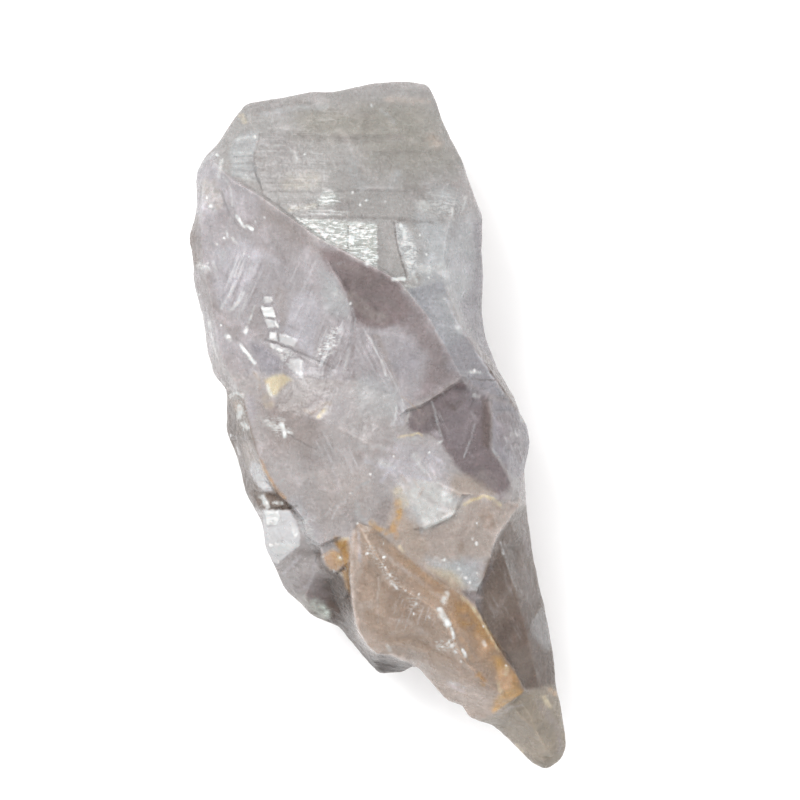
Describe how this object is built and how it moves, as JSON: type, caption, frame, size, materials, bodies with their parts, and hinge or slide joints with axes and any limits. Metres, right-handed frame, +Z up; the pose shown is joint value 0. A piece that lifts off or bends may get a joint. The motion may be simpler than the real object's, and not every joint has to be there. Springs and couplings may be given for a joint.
{
  "type": "rough quartz",
  "caption": "Rough broken crystal of cloudy quartz, hand-sized, lying on a flat prism face, with rust-stained flakes at its narrow end.",
  "frame": {"origin": "middle of the stone's bounding box seen from above, on the surface that it lies on", "axes": "+Y along the crystal towards its broad broken end, +Z up from the flat face that it lies on"},
  "size_m": [0.0663, 0.1207, 0.0398],
  "materials": {
    "quartz": "cloudy translucent crystal, striated faces, conchoidal breaks, iron stains"
  },
  "bodies": {
    "root": {"quartz": "quartz"}
  },
  "joints": []
}
